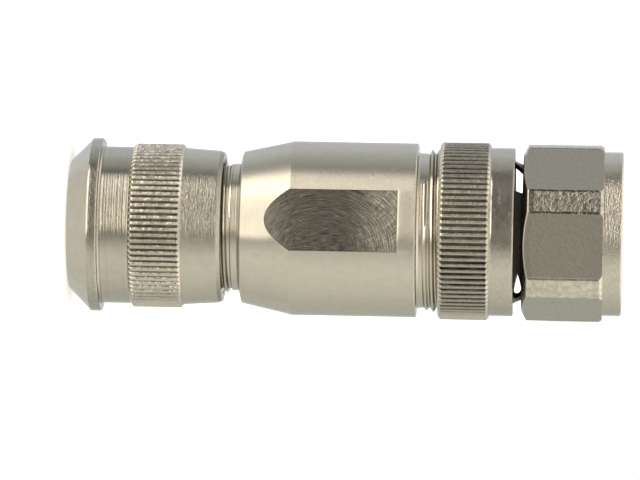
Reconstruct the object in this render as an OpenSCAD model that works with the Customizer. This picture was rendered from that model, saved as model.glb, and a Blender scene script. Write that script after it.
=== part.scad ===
// Straight circular sensor connector for a cable: a knurled clamp cap at the cable end, a housing
// with spanner flats, a knurled front shell and a free hexagonal coupling nut at the mating end.
// Millimetres, axis along +Z, standing on the end face of the clamp cap.

/* [Clamp cap] */
// Length of the clamp cap along the axis
cap_len = 16.94; // [16.6:0.02:17.4]
// Diameter of the flat end face that the part stands on
cap_end_d = 14.44; // [13:0.02:15.4]
// Diameter of the gripping flange
cap_flange_d = 19.18; // [18.7:0.02:19.6]
// Width of the gripping flange's rim
cap_flange_w = 1.12; // [0.8:0.02:1.4]
// Diameter of the plain neck behind the flange
cap_neck_d = 17.36; // [17.1:0.02:17.6]
// Length of the plain neck
cap_neck_len = 3.36; // [3:0.02:3.8]
// Diameter over the cap's knurl
cap_knurl_d = 18.1; // [17.9:0.02:18.5]
// Length of the cap's knurl
cap_knurl_len = 5.74; // [5:0.02:6.2]
// Number of straight knurl teeth on the cap
cap_teeth = 84; // [72:2:90]
// Diameter at the open end of the tapered skirt
cap_skirt_d = 16.84; // [16.6:0.02:17.1]
// Diameter of the hole that the cable goes in by
cable_hole_d = 8.6; // [8:0.1:9]

/* [Cable clamp] */
// Diameter of the cable that the seal takes
cable_d = 6; // [5:0.1:6.4]
// Number of fingers on the clamp basket
basket_fingers = 6; // [4:1:8]

/* [Housing] */
// Gap left between the cap's skirt and the housing
neck_gap = 1.78; // [1.7:0.02:2.1]
// Major diameter of the neck thread
neck_thread_d = 14.52; // [14.4:0.02:14.7]
// Length of the housing's cone
cone_len = 5.52; // [4.8:0.02:6.2]
// Diameter at the small end of the cone
cone_small_d = 16.82; // [16.6:0.02:17.2]
// Diameter of the housing's barrel
body_d = 19.24; // [19:0.02:19.5]
// Length of the barrel
body_len = 13.78; // [13.5:0.02:15]
// Width across the two spanner flats
flats_w = 18; // [17.6:0.02:18.4]
// Length of barrel left round behind the flats
flats_end = 1.98; // [1.6:0.02:2.4]
// Major diameter of the front thread
shell_thread_d = 18; // [17.9:0.02:18.1]
// Thread pitch of the neck and front threads
pitch = 0.75; // [0.7:0.01:0.8]

/* [Front shell] */
// Gap left between the housing's barrel and the shell
shell_gap = 2.4; // [2.4:0.02:2.6]
// Diameter over the shell's knurl
shell_knurl_d = 19.58; // [19.5:0.02:20]
// Length of the shell's knurl
shell_knurl_len = 5.64; // [5.56:0.02:6]
// Number of straight knurl teeth on the shell
shell_teeth = 88; // [76:2:96]
// Diameter of the plain collar
collar_d = 18.6; // [18.4:0.02:18.9]
// Length of the plain collar
collar_len = 2.64; // [2.6:0.02:3]

/* [Coupling nut] */
// End play of the coupling nut, open as stored
nut_play = 0.92; // [0.8:0.02:0.96]
// Width across the nut's six flats
hex_w = 18; // [17.6:0.02:18.4]
// Diameter of the round bar that the hexagon is milled from
hex_round_d = 19.46; // [19.2:0.02:19.8]
// Length of the hexagon
hex_len = 8.88; // [8.4:0.02:9.4]
// Turn of the hexagon from the spanner flats
hex_turn = 15; // [0:1:59]
// Diameter of the plain rim
rim_d = 18.08; // [17.8:0.02:18.4]
// Length of the plain rim
rim_len = 2.08; // [1.8:0.02:2.4]
// Major diameter of the coupling thread
coupling_d = 12; // [11.9:0.02:12.1]

/* [Retaining cage] */
// Diameter of the cage where it leaves the shell
cage_d = 15.7; // [15.6:0.02:15.76]
// Wall of the cage
cage_wall = 0.62; // [0.5:0.02:0.7]
// Length of each window round the cage, in degrees
window_angle = 35; // [28:1:38]
// Angle of each window from the wide arms' middle
window_at = 53; // [50:1:58]

/* [Contact insert] */
// Diameter of the insert's stem
stem_d = 8.7; // [8.5:0.02:8.76]
// Depth of the stem's face below the nut's rim
stem_recess = 0.75; // [0.5:0.05:1]
// Radius of the circle that the outer contacts lie on
contact_circle_r = 2.5; // [2.4:0.02:2.6]
// Diameter of the mating pin that a contact takes
contact_pin_d = 1; // [0.8:0.02:1.04]

/* [Hidden] */
$fn = 96;
play = 0.1;
slip = 0.05;
thread_depth = 0.6134 * pitch;

// levels along the axis, from the cable end
cap_bevel = (cap_flange_d - cap_end_d) / 2;
neck_z = 9.4;
cap_neck_z = cap_bevel + cap_flange_w;
cap_knurl_z = cap_neck_z + cap_neck_len;
cap_skirt_z = cap_knurl_z + cap_knurl_len;
face_z = cap_len + neck_gap;
face_rise = 0.32;
cone_z = face_z + face_rise;
barrel_z = cone_z + cone_len;
shoulder_z = barrel_z + body_len;
shell_z = shoulder_z + shell_gap;
collar_z = shell_z + shell_knurl_len;
shell_end = collar_z + collar_len;
nut_z = shell_end + nut_play;
rim_z = nut_z + hex_len;
top_z = rim_z + rim_len;

// clamp cap, which closes by its travel when it is tightened
cap_travel = 1.5;
cap_shoulder_z = 3.6;
cap_thread_z = neck_z - cap_travel - 0.5;
cap_pocket_r = 6.6;
cap_thread_r = neck_thread_d / 2 + play;
cap_knurl_depth = 0.25;

// cable clamp
washer_t = 0.7;
washer_z = cap_shoulder_z + slip;
washer_hole_r = cable_hole_d / 2 + 3 * play;
basket_z = cap_shoulder_z + washer_t + 2 * slip;
basket_collar = 1.2;
basket_top = 12.8;
basket_r = 5.75;
basket_inner_r = 5.15;
seal_bore_r = cable_d / 2 + 0.1;
seal_r = basket_inner_r - play;
seal_top = 14.2;

// housing
neck_root_r = neck_thread_d / 2 - thread_depth;
neck_relief_r = 7.02;
neck_relief_z = face_z - 0.8;
neck_bore_r = 5.9;
web_t = 1.2;
web_z = cone_z - 2 * face_rise;
web_top = web_z + web_t;
web_bevel = 1;
web_hole_r = 4.2;
chamber_r = 7.2;
shell_root_r = shell_thread_d / 2 - thread_depth;
shell_relief_r = 8.56;
shell_relief_z = shoulder_z + 0.88;
spigot_z = shell_z + 1.68;
key_w = 2;
key_r = 7.7;

// braid clamp
bush_flange_t = 0.65;
bush_tube_len = 1.68;
bush_flange_z = web_z - slip - bush_flange_t;
braid_z = bush_flange_z - bush_tube_len;
bush_bore_r = 3.4;
bush_tube_r = 4.1;
braid_gap = 0.4;

// front shell
shell_thread_r = shell_thread_d / 2 + play;
shell_knurl_depth = 0.28;
flange_t = 1.1;
flange_z = shell_z + 4.03;
lip_z = flange_z + flange_t + slip;
lip_t = 0.8;
lip_hole_r = 5.9;
well_z = lip_z + lip_t;
well_r = 8.3;
mouth_t = 0.6;
mouth_z = shell_end - mouth_t;
mouth_r = cage_d / 2 + play;

// retaining cage
cage_collar_r = well_r - play;
cage_collar_t = 0.5;
cage_z = mouth_z - slip - cage_collar_t;
cage_waist_r = 7.45;
cage_barb_r = 7.85;
cage_barb_z = nut_z + 1.3;
cage_top = nut_z + 2;
cage_turn = 5.7;
window_drop = 0.15;
window_reach = 1;
window_slant = 0.77;

// coupling nut
nut_lip_r = cage_waist_r + play;
nut_groove_z = nut_z + 1.2;
nut_groove_r = cage_barb_r + 0.15;
nut_thread_z = nut_z + 2.2;
nut_thread_r = coupling_d / 2;
hex_bevel_z = 0.56;
hex_bevel_r = 0.98;
hex_end_z = 0.36;
hex_end_r = 0.2;

// contact insert
stem_r = stem_d / 2;
stem_step = 0.3;
stem_root_r = stem_r - stem_step;
stem_top = top_z - stem_recess;
hub_r = lip_hole_r - play;
hub_top = well_z + 1.7;
clip_t = 0.45;
clip_z = well_z + slip;
clip_groove_r = 5.3;
clip_r = 6.6;
plug_z = flange_z - 4.4;
plug_r = chamber_r - 0.15;
oring_d = 1;
oring_z = plug_z + 0.5;
oring_groove_r = chamber_r - slip - oring_d;
face_oring_d = 1.4;
face_groove_r = stem_root_r;
face_seal_z = nut_z + 0.6;
face_seal_top = face_seal_z + face_oring_d + slip;
stem_bevel = 0.25;
stem_key_start = 0.4;
stem_key_w = 1.6;
stem_key_t = 0.7;

// contacts
contact_r = 0.84;
contact_hole_r = contact_r + slip;
contact_collar_r = 1.04;
contact_collar_t = 1;
retainer_t = 1.4;
retainer_z = plug_z - slip - retainer_t;
cup_len = 3;
cup_depth = 2.6;
cup_r = 0.6;
socket_play = 0.02;
socket_depth = 6.5;
socket_bevel = 0.15;
contact_drop = 0.2;
cup_z = retainer_z - cup_len;
contact_top = stem_top - contact_drop;
contact_places = [
    [contact_circle_r, 45],
    [contact_circle_r, 135],
    [contact_circle_r, 225],
    [contact_circle_r, 315],
    [0, 0]
];

nickel = [0.74, 0.72, 0.66];
black = [0.035, 0.035, 0.04];
rubber = [0.05, 0.05, 0.055];
ivory = [0.82, 0.8, 0.74];
gold = [0.86, 0.68, 0.3];
tin = [0.72, 0.72, 0.72];

// which sub-part to draw, or all of them

// a turned ring or tube between two radii and two levels
module ring(r_in, r_out, z0, z1) {
    rotate_extrude()
        polygon([[r_in, z0], [r_out, z0], [r_out, z1], [r_in, z1]]);
}

// a round bar between two levels
module bar(r, z0, z1) {
    translate([0, 0, z0])
        cylinder(r = r, h = z1 - z0);
}

// outline of a straight knurl: flat crests with a V between each pair
function knurl_points(r, depth, teeth) = [
    for (i = [0:teeth - 1], k = [0:2])
        let (
            a = (i + [-0.16, 0.16, 0.5][k]) * 360 / teeth,
            q = [r, r, r - depth][k]
        )
        [q * cos(a), q * sin(a)]
];

// a knurled band with bevelled ends, solid to the axis
module knurl_band(r, depth, teeth, z0, z1) {
    bevel_r = 0.3;
    bevel_z = 0.28;
    intersection() {
        translate([0, 0, z0])
            linear_extrude(z1 - z0)
                polygon(knurl_points(r + 0.03, depth + 0.03, teeth));
        rotate_extrude()
            polygon([
                [0, z0], [r - bevel_r, z0], [r, z0 + bevel_z],
                [r, z1 - bevel_z], [r - bevel_r, z1], [0, z1]
            ]);
    }
}

module clamp_cap() {
    neck_r = cap_neck_d / 2;
    skirt_r = cap_skirt_d / 2;
    flange_r = cap_flange_d / 2;
    core_r = neck_r - 0.3;
    color(nickel)
        difference() {
            union() {
                rotate_extrude()
                    polygon([
                        [0, 0], [cap_end_d / 2, 0], [flange_r, cap_bevel],
                        [flange_r, cap_neck_z - 0.12], [flange_r - 0.12, cap_neck_z],
                        [neck_r + 0.2, cap_neck_z], [neck_r, cap_neck_z + 0.2],
                        [neck_r, cap_knurl_z + 0.1], [core_r, cap_knurl_z + 0.1],
                        [core_r, cap_skirt_z - 0.1], [neck_r, cap_skirt_z - 0.1],
                        [neck_r, cap_skirt_z + 0.1], [skirt_r, cap_len - 0.45],
                        [skirt_r - 0.22, cap_len], [0, cap_len]
                    ]);
                knurl_band(cap_knurl_d / 2, cap_knurl_depth, cap_teeth, cap_knurl_z, cap_skirt_z);
            }
            rotate_extrude()
                polygon([
                    [0, -1], [cable_hole_d / 2 + 0.4, -1], [cable_hole_d / 2 + 0.4, 0],
                    [cable_hole_d / 2, 0.4], [cable_hole_d / 2, cap_shoulder_z],
                    [cap_pocket_r, cap_shoulder_z], [cap_pocket_r, cap_thread_z],
                    [cap_thread_r, cap_thread_z + 0.4], [cap_thread_r, cap_len - 0.3],
                    [cap_thread_r + 0.3, cap_len], [cap_thread_r + 0.3, cap_len + 1], [0, cap_len + 1]
                ]);
        }
}

module slip_washer() {
    color(ivory)
        ring(washer_hole_r, cap_pocket_r - play, washer_z, washer_z + washer_t);
}

// collar against the washer and fingers that the neck's mouth closes on the seal
module clamp_basket() {
    collar_top = basket_z + basket_collar;
    color(black)
        difference() {
            rotate_extrude()
                polygon([
                    [basket_inner_r, basket_z], [cap_pocket_r - play, basket_z],
                    [cap_pocket_r - play, collar_top], [basket_r, collar_top + 0.4],
                    [basket_r, basket_top - 0.6], [basket_r - 0.3, basket_top],
                    [basket_inner_r, basket_top]
                ]);
            for (i = [0:basket_fingers - 1])
                rotate(i * 360 / basket_fingers)
                    translate([0, -0.5, collar_top + 0.8])
                        cube([10, 1, basket_top]);
        }
}

module gland_seal() {
    bead = 0.35;
    color(rubber)
        rotate_extrude()
            polygon([
                [seal_bore_r, basket_z + slip], [seal_r, basket_z + slip],
                [seal_r, seal_top - bead], [seal_r - bead, seal_top], [seal_bore_r, seal_top]
            ]);
}

module housing() {
    cone_r = cone_small_d / 2;
    body_r = body_d / 2;
    flats_top = shoulder_z - flats_end;
    color(nickel)
        difference() {
            rotate_extrude()
                polygon([
                    [neck_bore_r + 0.35, neck_z], [neck_root_r - 0.3, neck_z],
                    [neck_root_r, neck_z + 0.3], [neck_root_r, neck_relief_z],
                    [neck_relief_r, neck_relief_z + 0.1], [neck_relief_r, face_z],
                    [cone_r - 0.12, cone_z - 0.02], [cone_r, cone_z + 0.1],
                    [body_r, barrel_z], [body_r, shoulder_z - 0.12], [body_r - 0.12, shoulder_z],
                    [shell_relief_r + 0.35, shoulder_z], [shell_relief_r + 0.1, shoulder_z + 0.1],
                    [shell_relief_r, shoulder_z + 0.35], [shell_relief_r, shell_relief_z],
                    [shell_root_r, shell_relief_z + 0.1], [shell_root_r, spigot_z - 0.3],
                    [shell_root_r - 0.3, spigot_z], [chamber_r + 0.2, spigot_z],
                    [chamber_r, spigot_z - 0.2], [chamber_r, web_top + web_bevel],
                    [chamber_r - web_bevel, web_top],
                    [web_hole_r, web_top], [web_hole_r, web_z], [neck_bore_r, web_z],
                    [neck_bore_r, neck_z + 0.35]
                ]);
            // spanner flats
            for (side = [-1, 1])
                translate([0, side * (flats_w / 2 + 2), flats_top / 2])
                    cube([40, 4, flats_top], center = true);
            // keyways that stop the insert from turning
            for (side = [-1, 1])
                translate([side * (key_r + slip - 1), 0, spigot_z - 4])
                    cube([2, key_w + 2 * play, 12], center = true);
        }
}

module shield_ring() {
    color(tin)
        ring(bush_tube_r + braid_gap, neck_bore_r - play, braid_z + play, bush_flange_z - slip);
}

module shield_bush() {
    color(tin)
        rotate_extrude()
            polygon([
                [bush_bore_r, braid_z], [bush_tube_r, braid_z], [bush_tube_r, bush_flange_z],
                [neck_bore_r - play, bush_flange_z], [neck_bore_r - play, web_z - slip],
                [bush_bore_r, web_z - slip]
            ]);
}

module front_shell() {
    collar_r = collar_d / 2;
    core_r = collar_r + 0.05;
    color(nickel)
        difference() {
            union() {
                rotate_extrude()
                    polygon([
                        [0, shell_z + 0.1], [core_r, shell_z + 0.1], [core_r, collar_z - 0.1],
                        [collar_r, collar_z - 0.1], [collar_r, shell_end - 0.1],
                        [collar_r - 0.1, shell_end], [0, shell_end]
                    ]);
                knurl_band(shell_knurl_d / 2, shell_knurl_depth, shell_teeth, shell_z, collar_z);
            }
            rotate_extrude()
                polygon([
                    [0, shell_z - 1], [shell_thread_r + 0.15, shell_z - 1],
                    [shell_thread_r + 0.15, shell_z], [shell_thread_r, shell_z + 0.15],
                    [shell_thread_r, lip_z], [lip_hole_r, lip_z], [lip_hole_r, well_z],
                    [well_r, well_z], [well_r, mouth_z], [mouth_r, mouth_z],
                    [mouth_r, shell_end + 1], [0, shell_end + 1]
                ]);
        }
}

// open clip in the hub's groove, in front of the shell's lip
module insert_clip() {
    color(tin)
        difference() {
            ring(clip_groove_r + slip, clip_r, clip_z, clip_z + clip_t);
            translate([0, -1.2, clip_z - 1])
                cube([10, 2.4, 3]);
        }
}

// a seal ring of round section, given by its inner radius
module seal_ring(r_in, d, z0) {
    color(rubber)
        rotate_extrude()
            translate([r_in + d / 2, z0 + d / 2])
                circle(d = d, $fn = 32);
}

module insert_seal() {
    seal_ring(oring_groove_r, oring_d, oring_z);
}

module mating_seal() {
    seal_ring(face_groove_r + slip / 2, face_oring_d, face_seal_z + slip / 2);
}

// plug in the housing, flange in the shell and hub that carries the clip
module insert_holder() {
    flange_r = shell_thread_r - 2 * play;
    bore_r = stem_root_r + slip;
    color(black)
        rotate_extrude()
            polygon([
                [bore_r, plug_z], [plug_r, plug_z],
                [plug_r, oring_z - slip], [oring_groove_r, oring_z - slip],
                [oring_groove_r, oring_z + oring_d + slip], [plug_r, oring_z + oring_d + slip],
                [plug_r, flange_z], [flange_r, flange_z],
                [flange_r, flange_z + flange_t], [hub_r, flange_z + flange_t],
                [hub_r, clip_z - slip / 2], [clip_groove_r, clip_z - slip / 2],
                [clip_groove_r, clip_z + clip_t + slip], [hub_r, clip_z + clip_t + slip],
                [hub_r, hub_top], [bore_r, hub_top]
            ]);
}

// round stem with a socket for each contact and a groove for the mating seal
module contact_insert() {
    color(black)
        difference() {
            rotate_extrude()
                polygon([
                    [0, plug_z], [stem_root_r, plug_z], [stem_root_r, hub_top], [stem_r, hub_top],
                    [stem_r, face_seal_z], [face_groove_r, face_seal_z],
                    [face_groove_r, face_seal_top], [stem_r, face_seal_top],
                    [stem_r, stem_top - stem_bevel], [stem_r - stem_bevel, stem_top], [0, stem_top]
                ]);
            // keyway that sets the mating part's angle
            translate([stem_r - stem_key_t, -stem_key_w / 2, face_seal_top + stem_key_start])
                cube([stem_r, stem_key_w, top_z]);
            for (p = contact_places)
                rotate(p[1])
                    translate([p[0], 0, 0]) {
                        bar(contact_hole_r, plug_z - 1, top_z);
                        bar(contact_collar_r + slip, plug_z - 1, plug_z + contact_collar_t + slip);
                    }
        }
}

// disc with two keys that locks the contacts from behind
module contact_retainer() {
    color(black)
        difference() {
            union() {
                bar(plug_r - 0.05, retainer_z, plug_z - slip);
                intersection() {
                    bar(key_r - play, retainer_z, plug_z - slip);
                    translate([-key_r, -key_w / 2, retainer_z])
                        cube([2 * key_r, key_w, retainer_t]);
                }
            }
            for (p = contact_places)
                rotate(p[1])
                    translate([p[0], 0, 0])
                        bar(contact_hole_r, retainer_z - 1, plug_z + 1);
        }
}

// a turned socket contact: mating bore in front, collar, solder cup behind
module contact(place) {
    pin_r = contact_pin_d / 2 + socket_play;
    color(gold)
        rotate(place[1])
            translate([place[0], 0, 0])
                rotate_extrude($fn = 32)
                    polygon([
                        [cup_r, cup_z], [contact_r, cup_z], [contact_r, plug_z],
                        [contact_collar_r, plug_z], [contact_collar_r, plug_z + contact_collar_t],
                        [contact_r, plug_z + contact_collar_t], [contact_r, contact_top],
                        [pin_r + socket_bevel, contact_top], [pin_r, contact_top - socket_bevel],
                        [pin_r, contact_top - socket_depth], [0, contact_top - socket_depth],
                        [0, cup_z + cup_depth], [cup_r, cup_z + cup_depth]
                    ]);
}

module contact_1() {
    contact(contact_places[0]);
}

module contact_2() {
    contact(contact_places[1]);
}

module contact_3() {
    contact(contact_places[2]);
}

module contact_4() {
    contact(contact_places[3]);
}

module contact_5() {
    contact(contact_places[4]);
}

// outline of a hole that narrows to a point at its low end, given by half its length and half its width
function teardrop(half_len, half_w, mid) = [
    for (t = [0:20:340])
        [-half_len * cos(t), mid + half_w * sin(t) * sin(t / 2) / 0.77]
];

// a cut outwards from the axis along +X, with its outline in Y and Z
module radial_cut(points, reach) {
    rotate([90, 0, 90])
        linear_extrude(reach)
            polygon(points);
}

// collar kept in the shell, arms that taper into the nut, barbs that hold the nut; on each side of the
// two wide arms' plane lie slanted windows, and opposite them pointed ones
module retaining_cage() {
    top_r = cage_waist_r - cage_wall;
    half = cage_d / 2 * sin(window_angle / 2);
    low = mouth_z + window_drop;
    high = nut_z + window_reach;
    slanted = [
        [-half, low], [-half, high], [half - window_slant, high],
        [half - window_slant, nut_z], [half + window_slant, shell_end], [half + window_slant, low]
    ];
    pointed = teardrop(half, nut_play / 2, shell_end + nut_play / 2);
    color(black)
        difference() {
            rotate_extrude()
                polygon([
                    [cage_d / 2 - cage_wall, cage_z], [cage_collar_r, cage_z],
                    [cage_collar_r, cage_z + cage_collar_t], [cage_d / 2, cage_z + cage_collar_t],
                    [cage_d / 2, shell_end + 0.05], [cage_waist_r, nut_z + 0.02],
                    [cage_waist_r, cage_barb_z - 0.05], [cage_barb_r, cage_barb_z],
                    [cage_barb_r, cage_barb_z + 0.15], [cage_waist_r, cage_top],
                    [top_r, cage_top], [top_r, nut_z + 0.1], [cage_d / 2 - cage_wall, shell_end - 0.05]
                ]);
            rotate(cage_turn - 90)
                for (back = [0, 1])
                    mirror([back, 0, 0]) {
                        rotate(-window_at)
                            mirror([0, 1, 0])
                                radial_cut(slanted, cage_collar_r + 1);
                        rotate(window_at)
                            radial_cut(pointed, cage_collar_r + 1);
                    }
        }
}

module coupling_nut() {
    round_r = hex_round_d / 2;
    rim_r = rim_d / 2;
    mouth = 0.45;
    color(nickel)
        difference() {
            union() {
                intersection() {
                    rotate([0, 0, hex_turn])
                        translate([0, 0, nut_z])
                            cylinder(d = hex_w / cos(30), h = hex_len, $fn = 6);
                    rotate_extrude()
                        polygon([
                            [0, nut_z], [round_r - hex_bevel_r, nut_z], [round_r, nut_z + hex_bevel_z],
                            [round_r, rim_z - hex_end_z], [round_r - hex_end_r, rim_z], [0, rim_z]
                        ]);
                }
                rotate_extrude()
                    polygon([
                        [0, rim_z - 1], [rim_r - 0.5, rim_z - 1], [rim_r - 0.5, rim_z - 0.01],
                        [rim_r, rim_z - 0.01], [rim_r, top_z - 0.15], [rim_r - 0.15, top_z], [0, top_z]
                    ]);
            }
            rotate_extrude()
                polygon([
                    [0, nut_z - 1], [nut_lip_r + 0.2, nut_z - 1], [nut_lip_r + 0.2, nut_z],
                    [nut_lip_r, nut_z + 0.2], [nut_lip_r, nut_groove_z], [nut_groove_r, nut_groove_z],
                    [nut_groove_r, nut_thread_z], [nut_thread_r, nut_thread_z],
                    [nut_thread_r, top_z - mouth], [nut_thread_r + mouth, top_z],
                    [nut_thread_r + mouth, top_z + 1], [0, top_z + 1]
                ]);
        }
}

clamp_cap();
slip_washer();
clamp_basket();
gland_seal();
housing();
shield_ring();
shield_bush();
front_shell();
insert_holder();
insert_clip();
insert_seal();
contact_insert();
contact_retainer();
contact_1();
contact_2();
contact_3();
contact_4();
contact_5();
mating_seal();
retaining_cage();
coupling_nut();
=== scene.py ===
import math

import bmesh
import bpy
from mathutils import Matrix, Vector


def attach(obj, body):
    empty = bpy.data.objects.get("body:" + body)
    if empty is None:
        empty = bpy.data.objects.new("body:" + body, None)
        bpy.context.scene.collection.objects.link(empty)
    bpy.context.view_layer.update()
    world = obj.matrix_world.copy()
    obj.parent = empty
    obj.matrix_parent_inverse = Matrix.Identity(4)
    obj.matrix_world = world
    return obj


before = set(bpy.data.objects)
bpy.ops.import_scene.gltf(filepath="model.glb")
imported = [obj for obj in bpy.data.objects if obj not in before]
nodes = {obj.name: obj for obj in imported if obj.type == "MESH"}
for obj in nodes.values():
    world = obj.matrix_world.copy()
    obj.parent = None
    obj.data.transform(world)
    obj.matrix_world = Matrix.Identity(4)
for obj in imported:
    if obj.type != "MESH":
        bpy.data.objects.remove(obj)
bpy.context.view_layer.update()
scene = bpy.context.scene
MM = 0.001
DEGREES = 180 / math.pi
WHITE = (1, 1, 1, 1)

# camera: the connector's axis runs along the picture's width, mating end to the right
PICTURE_WIDTH = 640
PX_PER_MM = 9.044
SENSOR_WIDTH = 36
DISTANCE = 0.63
TURN = math.radians(-84.3)
RISE = math.radians(2.8)
ROLL = math.radians(1.1)
TO_CAMERA = Vector((math.cos(RISE) * math.cos(TURN), math.cos(RISE) * math.sin(TURN), math.sin(RISE)))
AXIS = Vector((0, 0, 1))
flat_right = (AXIS - AXIS.dot(TO_CAMERA) * TO_CAMERA).normalized()
flat_up = TO_CAMERA.cross(flat_right)
RIGHT = math.cos(ROLL) * flat_right + math.sin(ROLL) * flat_up
UP = TO_CAMERA.cross(RIGHT)
MIDDLE = Vector((0, 0, 30.43 * MM))
# the object's middle lies this many pixels right of the picture's middle and above it
PX_RIGHT = 26.2
PX_UP = 11.0


def make_camera():
    pixel = MM / PX_PER_MM
    data = bpy.data.cameras.new("camera")
    cam = bpy.data.objects.new("camera", data)
    scene.collection.objects.link(cam)
    data.sensor_width = SENSOR_WIDTH
    data.lens = SENSOR_WIDTH * DISTANCE / (PICTURE_WIDTH * pixel)
    data.clip_start = 0.01
    data.clip_end = 20
    target = MIDDLE - (PX_RIGHT * pixel) * RIGHT - (PX_UP * pixel) * UP
    place = Matrix((RIGHT, UP, TO_CAMERA)).transposed().to_4x4()
    place.translation = target + DISTANCE * TO_CAMERA
    cam.matrix_world = place
    scene.camera = cam


class Tree:
    """Short calls for building a node tree."""

    def __init__(self, tree):
        self.tree = tree

    def add(self, kind, inputs=(), **settings):
        n = self.tree.nodes.new(kind)
        for k, v in settings.items():
            setattr(n, k, v)
        for k, v in dict(inputs).items():
            self.put(n.inputs[k], v)
        return n

    def put(self, socket, value):
        if isinstance(value, bpy.types.NodeSocket):
            self.tree.links.new(value, socket)
        else:
            socket.default_value = value

    def math(self, op, a, b=0.0, c=0.0):
        return self.add("ShaderNodeMath", {0: a, 1: b, 2: c}, operation=op).outputs[0]

    def vec(self, op, a, b=(0, 0, 0)):
        n = self.add("ShaderNodeVectorMath", {0: a, 1: b}, operation=op)
        return n.outputs["Value" if op in ("DOT_PRODUCT", "LENGTH") else "Vector"]

    def scale(self, v, factor):
        n = self.add("ShaderNodeVectorMath", {0: v, "Scale": factor}, operation="SCALE")
        return n.outputs["Vector"]

    def parts(self, v):
        """The x, y and z of a vector."""
        return self.add("ShaderNodeSeparateXYZ", {0: v}).outputs

    def step(self, x, low, high):
        """0 below low, 1 above high, smooth between."""
        ends = {"Value": x, "From Min": low, "From Max": high}
        return self.add("ShaderNodeMapRange", ends, interpolation_type="SMOOTHSTEP").outputs[0]

    def band(self, x, low, high, edge):
        """1 from low to high, 0 outside."""
        rise = self.step(x, low - edge, low + edge)
        fall = self.step(x, high + edge, high - edge)
        return self.math("MULTIPLY", rise, fall)

    def noise(self, where, scale, detail=2.0, rough=0.5, dims="3D"):
        key = "W" if dims == "1D" else "Vector"
        inputs = {key: where, "Scale": scale, "Detail": detail, "Roughness": rough}
        return self.add("ShaderNodeTexNoise", inputs, noise_dimensions=dims).outputs[0]

    def mix(self, f, a, b):
        n = self.add("ShaderNodeMix", {0: f}, data_type="RGBA")
        self.put(n.inputs[6], a)
        self.put(n.inputs[7], b)
        return n.outputs[2]

    def ramp(self, x, stops):
        n = self.add("ShaderNodeValToRGB", {0: x})
        e = n.color_ramp.elements
        while len(e) < len(stops):
            e.new(0.5)
        for i, (p, col) in enumerate(stops):
            e[i].position = p
            e[i].color = (*col, 1)
        return n.outputs[0]

    def show(self, shader, output="ShaderNodeOutputMaterial"):
        self.tree.links.new(shader.outputs[0], self.add(output).inputs[0])


def new_material(name):
    m = bpy.data.materials.new(name)
    m.use_nodes = True
    m.node_tree.nodes.clear()
    return m, Tree(m.node_tree)


def place_mm(t):
    """Object coordinates in millimetres."""
    return t.scale(t.add("ShaderNodeTexCoord").outputs["Object"], 1 / MM)


def from_axis(t, v):
    """The way out from the connector's axis to a place."""
    return t.vec("MULTIPLY", v, (1, 1, 0))


def true_normal(t):
    return t.add("ShaderNodeNewGeometry").outputs["True Normal"]


def swap(t, share, a, b):
    """a where share is 0, b where it is 1."""
    return t.math("MULTIPLY_ADD", t.math("SUBTRACT", b, a), share, a)


def rounded_normal(t, width):
    """The normal as if edges were rounded by this many millimetres."""
    return t.add("ShaderNodeBevel", {"Radius": width * MM}, samples=4).outputs[0]


def lip(t, z, low, high, end):
    """A worn edge: rises from low to high, then falls back slowly towards end."""
    return t.math("SUBTRACT", t.step(z, low, high), t.step(z, high, end))


NICKEL = (0.66, 0.61, 0.53)
# the metal's mirror at grazing angles, held back so that outlines don't turn white
GRAZING_TINT = (0.55, 0.55, 0.55, 1)
DARKEST = 0.06
BRIGHTEST = 1.25
# bump depths in metres
METAL_BUMP = 15e-6
MOULD_BUMP = 6e-6
PLATED_BUMP = 5e-6
# the side that faces the picture's top; the knurls get painted shade there and low down
SHADED_SIDE = (-0.995, -0.099, 0)
# half the width over which one zone gives way to the next, in millimetres
ZONE_EDGE = 0.02
# a zone's tone keys: the noise that each follows, and that noise's middle
TONES = {"line_tone": ("lines", 0.58), "speck_tone": ("specks", 0.5), "skin_tone": ("skin", 0.5)}


def grains(t, v, z, r):
    """The noises from which zones mix their relief and marks, by the zones' own keys."""
    # lathe lines run along the axis on round faces and along the radius on end faces, and waver a little
    along = t.math("MULTIPLY_ADD", r, 0.93, z)
    along = t.math("MULTIPLY_ADD", t.noise(v, 0.25, 1.0), 0.06, along)
    wide = t.noise(along, 4.4, 4.0, 0.66, "1D")
    narrow = t.noise(along, 17.0, 3.0, 0.6, "1D")
    return {
        "lines": t.math("MULTIPLY_ADD", narrow, 0.2, wide),
        "streaks": t.noise(t.vec("MULTIPLY", v, (1.3, 1.3, 12.0)), 1.0, 4.0, 0.65),
        "drawn": t.noise(t.vec("MULTIPLY", v, (4.0, 4.0, 0.5)), 1.0, 3.0, 0.6),
        "specks": t.noise(v, 4.2, 4.0, 0.62),
        "grit": t.noise(v, 9.0, 3.0, 0.6),
        "skin": t.noise(v, 1.7, 4.0, 0.66),
        "uneven": t.noise(t.vec("MULTIPLY", v, (2.4, 2.4, 1.1)), 1.0, 2.0),
        "blots": t.noise(v, 0.9, 1.0),
    }


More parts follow.
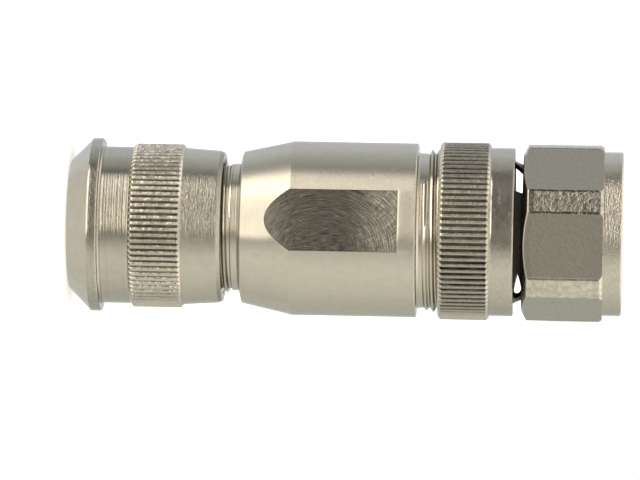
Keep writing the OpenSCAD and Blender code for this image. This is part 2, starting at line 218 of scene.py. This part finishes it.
def nickel(name, zones, rough=0.16, pattern=None, edge=0.09):
    """Nickel plating over turned brass, its edges rounded by edge millimetres. Each zone along the axis
    has its own relief, marks, darkness and roughness. A knurled zone gets painted shade, uneven, from the
    crests to the roots, and more of it on the shaded sides."""
    m, t = new_material(name)
    v = place_mm(t)
    x, y, z = t.parts(v)
    across = from_axis(t, v)
    r = t.vec("LENGTH", across)
    grain = grains(t, v, z, r)
    side = t.vec("DOT_PRODUCT", t.vec("NORMALIZE", across), SHADED_SIDE)
    # painted shade mask: towards the picture's top, and in a band low down
    side_shade = t.math("MULTIPLY", t.step(side, -0.05, -0.5), t.step(side, -0.97, -0.85))
    side_shade = t.math("ADD", side_shade, t.step(side, 0.3, 0.95))
    height = t.math("MULTIPLY", grain["grit"], 0.16)
    tone = t.math("MULTIPLY_ADD", t.step(t.noise(v, 1.1, 2.0), 0.35, 0.75), -0.05, 1.0)
    gloss = t.math("MULTIPLY_ADD", t.noise(v, 5.0, 3.0), 0.12, rough - 0.06)
    for zone in zones:
        if "lip" in zone:
            height = t.math("MULTIPLY_ADD", lip(t, z, *zone["lip"]), zone["rise"], height)
            continue
        inside = t.band(z, *zone["z"], ZONE_EDGE)
        relief = 0.0
        for key in grain:
            if key in zone:
                relief = t.math("MULTIPLY_ADD", grain[key], zone[key], relief)
        height = t.math("MULTIPLY_ADD", relief, inside, height)
        marks = -zone.get("dark", 0.0)
        for key, (kind, middle) in TONES.items():
            if key in zone:
                marks = t.math("MULTIPLY_ADD", t.math("SUBTRACT", grain[kind], middle), zone[key], marks)
        if "knurl" in zone:
            root, crest = zone["knurl"]
            # painted shade: the roots darken, broken up and faded out on one side, and the whole knurl
            # darkens on the shaded sides
            groove_shade_mask = t.math("MULTIPLY", t.step(r, crest - 0.02, root), t.step(grain["drawn"], 0.1, 0.62))
            groove_shade_mask = t.math("MULTIPLY", groove_shade_mask, t.step(side, *zone["root_shade_side"]))
            marks = t.math("MULTIPLY_ADD", groove_shade_mask, -zone["groove"], marks)
            marks = t.math("MULTIPLY_ADD", side_shade, -zone["side_shade"], marks)
        tone = t.math("MULTIPLY_ADD", marks, inside, tone)
        gloss = t.math("MULTIPLY_ADD", inside, zone.get("rough", 0.0), gloss)
    if pattern:
        height, tone, gloss = pattern(t, v, x, y, z, height, tone, gloss)
    tone = t.math("MINIMUM", t.math("MAXIMUM", tone, DARKEST), BRIGHTEST)
    bump = {"Strength": 1.0, "Distance": METAL_BUMP, "Height": height, "Normal": rounded_normal(t, edge)}
    # turned metal scatters light along the axis, across its lathe lines
    round_axis = t.add("ShaderNodeTangent", direction_type="RADIAL", axis="Z").outputs[0]
    t.show(t.add("ShaderNodeBsdfPrincipled", {
        "Base Color": t.scale(NICKEL, tone),
        "Metallic": 1.0,
        "Roughness": gloss,
        "Normal": t.add("ShaderNodeBump", bump).outputs[0],
        "Specular Tint": GRAZING_TINT,
        "Anisotropic": 0.7,
        "Anisotropic Rotation": 0.25,
        "Tangent": round_axis,
    }))
    return m


def arcs(t, v, centre, wide):
    """Broken arcs round a centre on the spanner flats' plane, and the distance from it."""
    off = t.vec("MULTIPLY", t.vec("SUBTRACT", v, centre), (1.0, 0.0, wide))
    x, _, z = t.parts(off)
    reach = t.vec("LENGTH", off)
    sweep = t.math("ARCTAN2", x, z)
    polar = {0: t.math("MULTIPLY", reach, 9.0), 1: t.math("MULTIPLY", sweep, 3.0)}
    where = t.add("ShaderNodeCombineXYZ", polar).outputs[0]
    return t.noise(where, 1.0, 5.0, 0.72), reach


def edge_mask(t, width):
    """1 along the piece's edges, 0 away from them."""
    normal = t.add("ShaderNodeNewGeometry").outputs["Normal"]
    return t.step(t.vec("DOT_PRODUCT", rounded_normal(t, width), normal), 0.9995, 0.994)


# the spanner flats lie this far from the axis
FLAT_OFF = 9.0


def housing_pattern(t, v, x, y, z, height, tone, gloss):
    """End mill arcs on the two spanner flats, and painted shade on the flats, with painted light towards
    their ends.
    """
    side = t.math("ABSOLUTE", y)
    facing = t.math("ABSOLUTE", t.parts(true_normal(t))[1])
    flat = t.band(side, FLAT_OFF - 0.02, FLAT_OFF + 0.02, 0.005)
    flat = t.math("MULTIPLY", flat, t.step(facing, 0.98, 0.995))
    one, reach = arcs(t, v, (3.3, 0.0, 28.2), 0.85)
    two, _ = arcs(t, v, (-6.0, 0.0, 30.0), 1.0)
    # near their centre the first arcs give way to level lines
    level = t.noise(t.vec("MULTIPLY", v, (7.0, 1.0, 1.0)), 1.0, 5.0, 0.72)
    one = swap(t, t.step(reach, 4.0, 1.8), one, level)
    # the second arcs are strongest at the flat's end towards the front shell
    end = t.step(z, 30.5, 35.5)
    mill = t.math("MULTIPLY_ADD", t.math("SUBTRACT", two, 0.5), t.math("MULTIPLY_ADD", end, 0.8, 0.2), one)
    # painted shade: the flats are dark, with painted light towards both ends
    painted_light_ends = t.math("ADD", end, t.math("MULTIPLY", t.step(z, 25.5, 21.5), 0.5))
    flat_shade_and_marks = t.math("MULTIPLY_ADD", painted_light_ends, 0.4, 0.335)
    contrast = t.math("MULTIPLY_ADD", end, 0.8, 1.6)
    flat_shade_and_marks = t.math("MULTIPLY_ADD", t.math("SUBTRACT", mill, 0.5), contrast, flat_shade_and_marks)
    flat_shade_and_marks = t.math("MULTIPLY", flat_shade_and_marks, t.math("MULTIPLY_ADD", edge_mask(t, 0.3), -0.45, 1.0))
    height = swap(t, flat, height, t.math("MULTIPLY", mill, 0.5))
    # the edge at the flat's end is worn
    beside = t.math("MULTIPLY", t.step(t.math("ABSOLUTE", x), 3.7, 3.1), t.step(side, 8.5, 8.9))
    worn = t.math("MULTIPLY", lip(t, z, 36.36, 36.56, 38.3), beside)
    height = t.math("MULTIPLY_ADD", worn, 1.7, height)
    return height, swap(t, flat, tone, flat_shade_and_marks), swap(t, flat, gloss, 0.14)


# the nut's hexagon: one flat's azimuth, and half the angle that a flat takes up, in degrees
FLAT_TURN = -75
HALF_FLAT = 22.34
# the bevel at the hexagon's cable end runs this far along the axis for each millimetre of radius
BEVEL_SLOPE = 0.5714
# the strips on this side, and opposite it, get painted shade; the flats' edges on these sides alone get dark
# sunken lines
SHADED_STRIP_SIDE = (-0.259, -0.966, 0)


def hex_pattern(t, v, x, y, z, height, tone, gloss):
    """Slanting mill marks on the six flats; the round strips between them keep the drawn bar's rough skin."""
    normal = true_normal(t)
    best = -1.0
    for k in range(6):
        a = math.radians(FLAT_TURN + 60 * k)
        best = t.math("MAXIMUM", best, t.vec("DOT_PRODUCT", normal, (math.cos(a), math.sin(a), 0)))
    flat = t.math("MULTIPLY", t.step(best, 0.9985, 0.9996), t.band(z, 50.0, 58.9, ZONE_EDGE))
    lean = t.scale(t.add("ShaderNodeCombineXYZ", {0: z, 1: z}).outputs[0], -0.8)
    slant = t.noise(t.vec("MULTIPLY", t.vec("ADD", v, lean), (4.0, 4.0, 0.7)), 1.0, 4.0, 0.68)
    pits = t.noise(v, 3.0, 4.0, 0.7)
    marks = t.math("MULTIPLY_ADD", pits, 0.5, t.math("MULTIPLY", slant, 0.8))
    height = swap(t, flat, height, t.math("MULTIPLY", marks, 0.9))
    tone = swap(t, flat, tone, t.math("MULTIPLY_ADD", marks, 0.5, 0.55))
    gloss = swap(t, flat, gloss, 0.17)
    # a worn edge along the bevel at the cable end
    across = from_axis(t, v)
    inward = t.math("MULTIPLY_ADD", t.vec("LENGTH", across), -BEVEL_SLOPE, z)
    height = t.math("MULTIPLY_ADD", lip(t, inward, 44.94, 45.08, 45.7), 1.6, height)
    # painted shade: darker strips between the flats on those sides
    shaded_strip_side = t.math("ABSOLUTE", t.vec("DOT_PRODUCT", t.vec("NORMALIZE", across), SHADED_STRIP_SIDE))
    strip = t.math("MULTIPLY", t.step(shaded_strip_side, 0.55, 0.92), t.band(z, 50.0, 58.8, ZONE_EDGE))
    strip = t.math("MULTIPLY", strip, t.math("SUBTRACT", 1.0, flat))
    tone = t.math("MULTIPLY_ADD", strip, -0.27, tone)
    # a sunken, darker line along both edges of each flat, broken up, on those sides only
    swing = t.math("MULTIPLY", t.math("ARCTAN2", y, x), DEGREES)
    fold = t.math("ABSOLUTE", t.math("WRAP", t.math("SUBTRACT", swing, FLAT_TURN), -30.0, 30.0))
    off = t.math("ABSOLUTE", t.math("SUBTRACT", fold, HALF_FLAT))
    edge_groove = t.math("MULTIPLY", t.step(off, 1.0, 0.45), t.band(z, 50.7, 58.4, 0.05))
    edge_groove = t.math("MULTIPLY", edge_groove, t.step(t.noise(v, 3.5, 3.0, 0.6), 0.22, 0.5))
    edge_groove = t.math("MULTIPLY", edge_groove, t.step(shaded_strip_side, 0.3, 0.8))
    height = t.math("MULTIPLY_ADD", edge_groove, -2.0, height)
    tone = t.math("MULTIPLY", tone, t.math("MULTIPLY_ADD", edge_groove, -0.8, 1.0))
    return height, tone, gloss


def plastic(name, colour, rough, bump):
    """Moulded plastic or rubber: a fine grain, and a tone and gloss that drift with the flow."""
    m, t = new_material(name)
    v = place_mm(t)
    flow = t.noise(v, 1.6, 2.0)
    dark = tuple(c * 0.72 for c in colour)
    grain = {"Strength": bump, "Distance": MOULD_BUMP, "Height": t.noise(v, 14.0, 3.0)}
    t.show(t.add("ShaderNodeBsdfPrincipled", {
        "Base Color": t.mix(t.step(flow, 0.3, 0.7), (*colour, 1), (*dark, 1)),
        "Roughness": t.math("MULTIPLY_ADD", flow, 0.16, rough - 0.08),
        "Normal": t.add("ShaderNodeBump", grain).outputs[0],
    }))
    return m


def plated(name, colour, rough):
    """Small turned metal pieces: fine lathe lines and a slightly uneven plating."""
    m, t = new_material(name)
    v = place_mm(t)
    z = t.parts(v)[2]
    along = t.math("ADD", z, t.vec("LENGTH", from_axis(t, v)))
    uneven = t.noise(v, 2.2, 2.0)
    dark = tuple(c * 0.86 for c in colour)
    rings = {"Strength": 0.6, "Distance": PLATED_BUMP, "Height": t.noise(along, 9.0, 3.0, 0.6, "1D")}
    t.show(t.add("ShaderNodeBsdfPrincipled", {
        "Base Color": t.mix(t.step(uneven, 0.3, 0.75), (*colour, 1), (*dark, 1)),
        "Metallic": 1.0,
        "Roughness": t.math("MULTIPLY_ADD", uneven, 0.14, rough - 0.07),
        "Normal": t.add("ShaderNodeBump", rings).outputs[0],
    }))
    return m


def dress(name, material):
    mesh = nodes[name].data
    mesh.materials.clear()
    mesh.materials.append(material)


# threads: steps in one turn, and shares of the pitch or of the ridge's height
THREAD_STEPS = 72
FOOT_SHARE = 0.44
CREST_SHARE = 0.13
FADE_SHARE = 0.6
SINK_SHARE = 0.06
LEAN_SHARE = 0.06
SHARP_ANGLE = math.radians(30)


def thread(name, root, crest, z0, z1, pitch, at_angle, at_z, body, material):
    """A right-handed thread ridge between two levels; crest below root makes an inner thread. One point
    of its crest lies at at_angle degrees and the level at_z. It fades out at both ends, its foot is sunk
    into the solid, and the crest's corner towards the cable end is a little lower."""
    foot = FOOT_SHARE * pitch
    top = CREST_SHARE * pitch
    fade_length = FADE_SHARE * pitch
    sink = root - (crest - root) * SINK_SHARE
    bm = bmesh.new()
    rows = []
    first = math.floor((z0 - at_z) / pitch * THREAD_STEPS)
    last = math.ceil((z1 - at_z) / pitch * THREAD_STEPS)
    for i in range(first, last + 1):
        a = math.radians(at_angle) + 2 * math.pi * i / THREAD_STEPS
        z = at_z + pitch * i / THREAD_STEPS
        fade = min(1.0, max(0.0, (z - z0) / fade_length), max(0.0, (z1 - z) / fade_length))
        rise = root + (crest - root) * fade
        lean = LEAN_SHARE * (rise - root)
        row = []
        for q, dz in ((sink, -foot), (rise - lean, -top), (rise, top), (sink, foot)):
            row.append(bm.verts.new((q * math.cos(a) * MM, q * math.sin(a) * MM, (z + dz) * MM)))
        rows.append(row)
    for p, q in zip(rows, rows[1:]):
        for k in range(4):
            n = (k + 1) % 4
            bm.faces.new((p[k], q[k], q[n], p[n]))
    bm.faces.new(rows[0])
    bm.faces.new(list(reversed(rows[-1])))
    bmesh.ops.recalc_face_normals(bm, faces=bm.faces)
    mesh = bpy.data.meshes.new(name)
    bm.to_mesh(mesh)
    bm.free()
    for f in mesh.polygons:
        f.use_smooth = True
    mesh.set_sharp_from_angle(angle=SHARP_ANGLE)
    obj = bpy.data.objects.new(name, mesh)
    scene.collection.objects.link(obj)
    mesh.materials.append(material)
    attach(obj, body)


FLOOR_RADIUS = 6.0
FLOOR_DROP = 0.02 * MM
FLOOR_COLOUR = (0.95, 0.95, 0.95, 1)
FLOOR_GLOW = 0.4


def make_floor():
    bm = bmesh.new()
    bmesh.ops.create_circle(bm, cap_ends=True, segments=96, radius=FLOOR_RADIUS)
    mesh = bpy.data.meshes.new("floor")
    bm.to_mesh(mesh)
    bm.free()
    obj = bpy.data.objects.new("floor", mesh)
    obj.location = (0, 0, -FLOOR_DROP)
    scene.collection.objects.link(obj)
    m, t = new_material("floor")
    matt = t.add("ShaderNodeBsdfDiffuse", {"Color": FLOOR_COLOUR}).outputs[0]
    glow = t.add("ShaderNodeEmission", {"Color": WHITE, "Strength": FLOOR_GLOW}).outputs[0]
    t.show(t.add("ShaderNodeAddShader", {0: matt, 1: glow}))
    mesh.materials.append(m)
    # the light comes from every side, from below too, so the floor takes shadow but holds no light back
    obj.visible_glossy = False
    obj.visible_diffuse = False
    obj.visible_shadow = False
    # the connector stands on its clamp cap, so the floor goes with the cap
    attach(obj, "clamp_cap")


# what the metal sees around it: angle from the camera's side (degrees, + towards the picture's top), colour
ROOM = [
    (-180, (1.3, 1.33, 1.33)), (-168, (1.04, 1.08, 1.04)), (-150, (0.78, 0.83, 0.785)),
    (-130, (0.65, 0.66, 0.59)), (-110, (0.68, 0.695, 0.615)), (-90, (0.77, 0.77, 0.68)),
    (-60, (0.84, 0.835, 0.74)), (-46, (0.78, 0.78, 0.695)), (-36, (0.63, 0.63, 0.56)),
    (-26, (0.44, 0.44, 0.385)), (-16, (0.275, 0.27, 0.236)), (-4, (0.25, 0.246, 0.215)),
    (12, (0.19, 0.188, 0.17)), (30, (0.15, 0.152, 0.145)), (62, (0.2, 0.2, 0.19)),
    (78, (0.19, 0.195, 0.19)), (87, (0.24, 0.245, 0.24)), (95, (0.385, 0.4, 0.385)),
    (103, (0.46, 0.48, 0.465)), (113, (0.545, 0.575, 0.58)), (130, (0.74, 0.8, 0.845)),
    (150, (0.97, 1.05, 1.13)), (168, (1.28, 1.35, 1.42)), (180, (1.3, 1.33, 1.33)),
]
# the walls beyond the cable end and the mating end, and the soft lamp beyond the cable end
CABLE_WALL = (0.77, 0.762, 0.7, 1)
MATING_WALL = (1.5, 1.43, 1.28, 1)
LAMP = (3.0, 2.84, 2.47)


def lamp_share(t, tilt, degrees):
    """The soft lamp beyond the cable end: about 1 where it is strongest, 0 outside it."""
    # further towards the cable end its edges are softer and it is weaker
    cone = t.step(tilt, -16, -24)
    near = t.math("MULTIPLY", t.step(tilt, -5.3, -10.0), t.step(tilt, -56, -48))
    fall = {"Value": tilt, "From Min": -34, "From Max": -14, "To Min": 0.24, "To Max": 1.0}
    far = t.add("ShaderNodeMapRange", fall).outputs[0]
    short = t.math("MULTIPLY_ADD", t.step(tilt, -12, -5.6), -12.0, degrees)
    lower = t.step(t.math("MULTIPLY_ADD", cone, 6.0, short), -17, -4)
    top = t.math("MULTIPLY_ADD", cone, 26.0, 86.0)
    full = t.math("MULTIPLY_ADD", cone, -24.0, 72.0)
    lamp = t.math("MULTIPLY", lower, t.step(degrees, top, full))
    lamp = t.math("MULTIPLY", lamp, t.math("MULTIPLY", near, far))
    return t.math("MULTIPLY", lamp, t.math("MULTIPLY_ADD", t.step(degrees, 35, 66), 0.3, 0.95))


def make_world():
    world = bpy.data.worlds.new("studio")
    scene.world = world
    world.use_nodes = True
    world.node_tree.nodes.clear()
    t = Tree(world.node_tree)
    d = t.vec("NORMALIZE", t.add("ShaderNodeTexCoord").outputs["Generated"])
    ahead = Vector((math.cos(TURN), math.sin(TURN), 0))
    above = ahead.cross(AXIS)
    turn = t.math("ARCTAN2", t.vec("DOT_PRODUCT", d, tuple(above)), t.vec("DOT_PRODUCT", d, tuple(ahead)))
    degrees = t.math("MULTIPLY", turn, DEGREES)
    tilt = t.math("MULTIPLY", t.math("ARCSINE", t.parts(d)[2]), DEGREES)
    # the dark side behind the camera narrows towards the cable end
    narrow = t.step(tilt, -1.0, -5.0)
    pulled = t.math("MULTIPLY", narrow, t.step(degrees, 6, -14))
    share = t.math("MULTIPLY_ADD", t.math("MULTIPLY_ADD", pulled, -9.0, degrees), 1 / 360, 0.5)
    colour = t.ramp(share, [((deg + 180) / 360, col) for deg, col in ROOM])
    colour = t.mix(t.step(tilt, -36, -56), colour, CABLE_WALL)
    colour = t.mix(t.step(tilt, 24, 46), colour, MATING_WALL)
    colour = t.vec("ADD", colour, t.scale(LAMP, lamp_share(t, tilt, degrees)))
    path = t.add("ShaderNodeLightPath").outputs
    seen = t.math("MAXIMUM", path["Is Camera Ray"], path["Is Transmission Ray"])
    # the metal mirrors the white backdrop behind it, and the studio's other sides elsewhere
    behind = t.step(t.math("ABSOLUTE", degrees), 175, 180)
    seen = t.math("MAXIMUM", seen, t.math("MULTIPLY", path["Is Glossy Ray"], behind))
    colour = t.mix(seen, colour, WHITE)
    t.show(t.add("ShaderNodeBackground", {"Color": colour, "Strength": 1.0}), "ShaderNodeOutputWorld")


make_camera()
make_world()
make_floor()
scene.view_settings.view_transform = "Standard"

# the nickel pieces' zones, with their levels along the axis in millimetres
CAP_ZONES = [
    # chamfer, flange, neck, knurl and sleeve
    {"z": (-1, 2.37), "lines": 0.35, "streaks": 0.3},
    {"z": (2.37, 3.49), "lines": 0.1, "specks": 0.9, "speck_tone": 0.55, "dark": 0.17, "rough": -0.05},
    {"z": (3.49, 6.85), "lines": 0.6, "streaks": 0.25, "line_tone": 0.3, "dark": 0.11, "rough": -0.075},
    {"z": (7.15, 12.3), "specks": 0.9, "drawn": 1.6, "uneven": 2.9,
     "knurl": (8.86, 9.01), "groove": 0.72, "side_shade": 0.05, "root_shade_side": (-1.0, -0.2)},
    {"z": (12.59, 17.5), "lines": 0.6, "streaks": 1.65, "dark": 0.04},
    # painted shade in the corner behind the flange and at the end by the gap
    {"z": (3.4, 3.8), "dark": 0.2},
    {"z": (16.5, 17.0), "dark": 0.3},
    # the worn edges of flange and knurl
    {"lip": (2.37, 2.55, 3.49), "rise": 1.3},
    {"lip": (7.1, 7.32, 12.0), "rise": 1.5},
]
SHELL_ZONES = [
    # knurl and collar, then their worn edges
    {"z": (41.06, 46.08), "specks": 0.5, "drawn": 0.8, "uneven": 2.0,
     "knurl": (9.6, 9.8), "groove": 0.66, "side_shade": 0.3, "root_shade_side": (-0.99, -0.88)},
    {"z": (46.38, 49.5), "blots": 2.8, "specks": 0.35, "speck_tone": 0.3, "dark": 0.07, "rough": -0.05},
    {"lip": (41.0, 41.25, 46.0), "rise": 1.5},
    {"lip": (46.4, 46.66, 49.0), "rise": 1.0},
]
HOUSING_ZONES = [
    # neck, cone, barrel and front neck
    {"z": (8, 19.04), "lines": 0.6},
    {"z": (19.04, 24.56), "lines": 0.15},
    {"z": (24.56, 38.34), "lines": 0.22, "grit": 0.08, "streaks": 0.12, "rough": 0.12},
    {"z": (38.34, 43), "lines": 0.6},
]
NUT_ZONES = [
    # hexagon and rim
    {"z": (49, 58.84), "skin": 3.0, "skin_tone": 1.3, "specks": 0.5},
    {"z": (58.84, 62), "lines": 0.6, "specks": 1.3, "speck_tone": 0.5, "streaks": 1.3, "rough": -0.02},
]
THREAD_ZONES = [{"z": (0, 70), "lines": 0.3, "specks": 0.2}]
dress("clamp_cap", nickel("nickel_cap", CAP_ZONES, edge=0.12))
dress("front_shell", nickel("nickel_shell", SHELL_ZONES, edge=0.24))
dress("housing", nickel("nickel_housing", HOUSING_ZONES, 0.17, housing_pattern))
dress("coupling_nut", nickel("nickel_nut", NUT_ZONES, 0.15, hex_pattern, 0.14))

black = plastic("black_moulding", (0.02, 0.02, 0.022), 0.38, 0.6)
rubber = plastic("black_rubber", (0.026, 0.026, 0.027), 0.62, 0.9)
ivory = plastic("ivory_moulding", (0.72, 0.69, 0.6), 0.45, 0.4)
gold = plated("gold_plating", (0.95, 0.69, 0.28), 0.2)
tin = plated("tin_plating", (0.68, 0.68, 0.66), 0.3)
steel = plated("clip_steel", (0.55, 0.55, 0.55), 0.28)
for name in ("clamp_basket", "insert_holder", "contact_insert", "contact_retainer", "retaining_cage"):
    dress(name, black)
for name in ("gland_seal", "insert_seal", "mating_seal"):
    dress(name, rubber)
dress("slip_washer", ivory)
for name in ("contact_1", "contact_2", "contact_3", "contact_4", "contact_5"):
    dress(name, gold)
for name in ("shield_ring", "shield_bush"):
    dress(name, tin)
dress("insert_clip", steel)

# the shell's and the cap's threads have one pitch; their crests are placed at the picture's lower outline
FINE_PITCH = 0.75
COUPLING_PITCH = 1.0
LOWER_OUTLINE = 5.7
metal = nickel("nickel_thread", THREAD_ZONES, edge=0.05)
thread("front_thread", 8.54, 9.0, 39.2, 42.0, FINE_PITCH, LOWER_OUTLINE, 39.49, "housing", metal)
thread("neck_thread", 6.8, 7.26, 9.8, 18.0, FINE_PITCH, LOWER_OUTLINE, 17.45, "housing", metal)
thread("coupling_thread", 6.0, 5.46, 53.4, 60.3, COUPLING_PITCH, 0.0, 54.0, "coupling_nut", metal)
